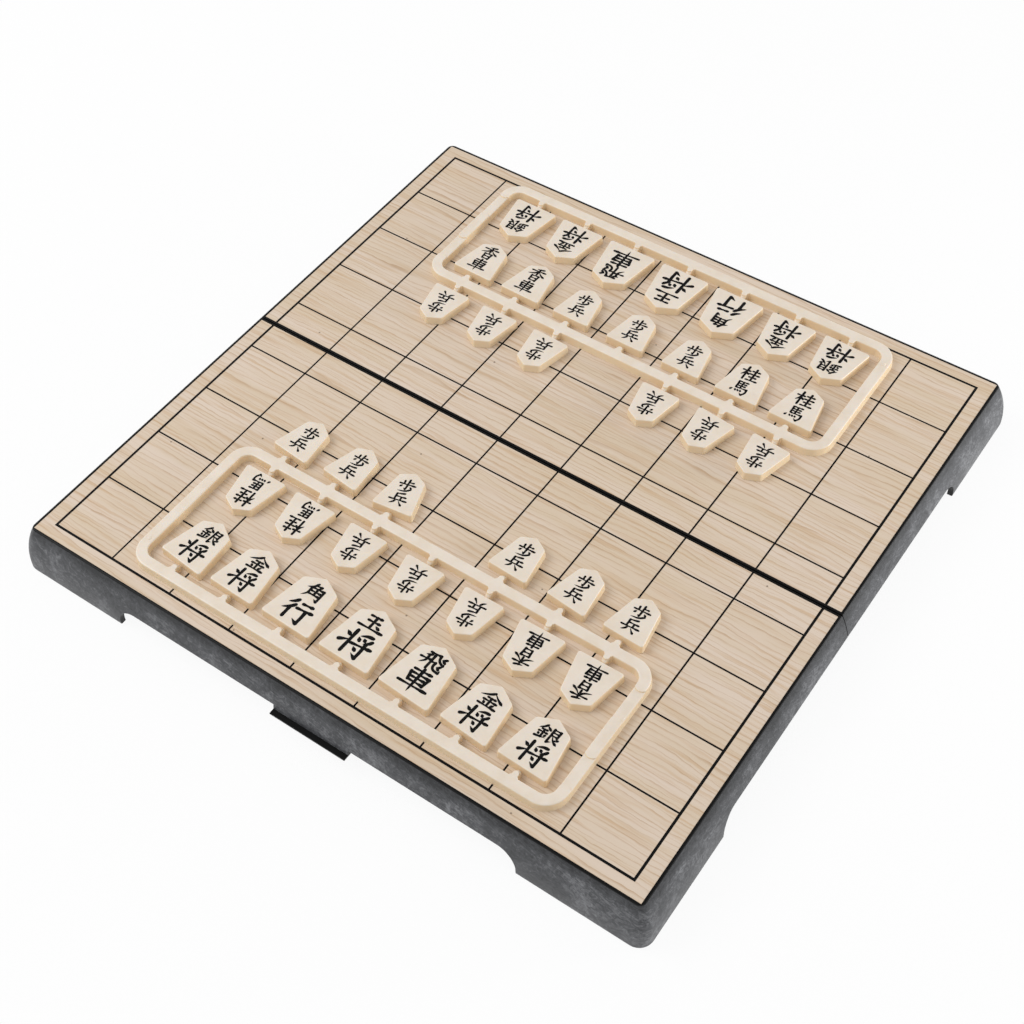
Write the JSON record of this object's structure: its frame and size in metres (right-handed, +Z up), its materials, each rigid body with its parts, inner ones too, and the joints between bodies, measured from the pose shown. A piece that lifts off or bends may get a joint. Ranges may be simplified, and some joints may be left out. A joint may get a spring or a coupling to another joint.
{
  "type": "folding shogi board",
  "caption": "Folding travel board lying open on its feet, ruled nine by nine over a wood-look print, with two sets of wedge-shaped men still on their moulded runners.",
  "frame": {"origin": "on the surface that the feet stand on, in the middle of the footprint; the fold lies 0.34 mm beyond it", "axes": "+X along the fold to the right, +Y from the near half, which carries the latch lip, to the far half, +Z up"},
  "size_m": [0.25, 0.2502, 0.0219],
  "materials": {
    "case_plastic": "moulded black plastic with a brushed, marbled grey",
    "black_plastic": "plain black",
    "printed_sheet": "satin print of pale wood, ruled in black",
    "steel_sheet": "thin rolled sheet",
    "steel_wire": "drawn wire",
    "ivory_plastic": "moulded ivory plastic, satin"
  },
  "bodies": {
    "near_half": {"near_case_shell": "case_plastic", "near_steel_plate": "steel_sheet", "near_playing_sheet": "printed_sheet", "left_hinge_pin": "steel_wire", "right_hinge_pin": "steel_wire"},
    "far_half": {"far_case_shell": "case_plastic", "far_steel_plate": "steel_sheet", "far_playing_sheet": "printed_sheet", "clasp_pin": "steel_wire"},
    "clasp": {"latch_clasp": "black_plastic"},
    "near_set": {"near_sprue_runner": "ivory_plastic", "near_king": "ivory_plastic", "near_rook": "ivory_plastic", "near_bishop": "ivory_plastic", "near_gold_left": "ivory_plastic", "near_gold_right": "ivory_plastic", "near_silver_left": "ivory_plastic", "near_silver_right": "ivory_plastic", "near_knight_left": "ivory_plastic", "near_knight_right": "ivory_plastic", "near_lance_left": "ivory_plastic", "near_lance_right": "ivory_plastic", "near_pawn_1": "ivory_plastic", "near_pawn_2": "ivory_plastic", "near_pawn_3": "ivory_plastic", "near_pawn_4": "ivory_plastic", "near_pawn_5": "ivory_plastic", "near_pawn_6": "ivory_plastic", "near_pawn_7": "ivory_plastic", "near_pawn_8": "ivory_plastic", "near_pawn_9": "ivory_plastic"},
    "far_set": {"far_sprue_runner": "ivory_plastic", "far_king": "ivory_plastic", "far_rook": "ivory_plastic", "far_bishop": "ivory_plastic", "far_gold_left": "ivory_plastic", "far_gold_right": "ivory_plastic", "far_silver_left": "ivory_plastic", "far_silver_right": "ivory_plastic", "far_knight_left": "ivory_plastic", "far_knight_right": "ivory_plastic", "far_lance_left": "ivory_plastic", "far_lance_right": "ivory_plastic", "far_pawn_1": "ivory_plastic", "far_pawn_2": "ivory_plastic", "far_pawn_3": "ivory_plastic", "far_pawn_4": "ivory_plastic", "far_pawn_5": "ivory_plastic", "far_pawn_6": "ivory_plastic", "far_pawn_7": "ivory_plastic", "far_pawn_8": "ivory_plastic", "far_pawn_9": "ivory_plastic"}
  },
  "joints": [
    {"name": "fold", "type": "hinge", "parent": "near_half", "child": "far_half", "pos_m": [0, 0.00034, 0.0016], "axis": [-1, 0, 0], "range_deg": [0, 177.5]},
    {"name": "clasp_swing", "type": "hinge", "parent": "far_half", "child": "clasp", "pos_m": [0.002, 0.12342, 0.0071], "axis": [1, 0, 0], "range_deg": [-25, 170]},
    {"name": "near_set_lift", "type": "slide", "parent": "near_half", "child": "near_set", "axis": [0, 0, 1], "range_m": [0, 0.04]},
    {"name": "far_set_lift", "type": "slide", "parent": "far_half", "child": "far_set", "axis": [0, 0, 1], "range_m": [0, 0.04]}
  ]
}
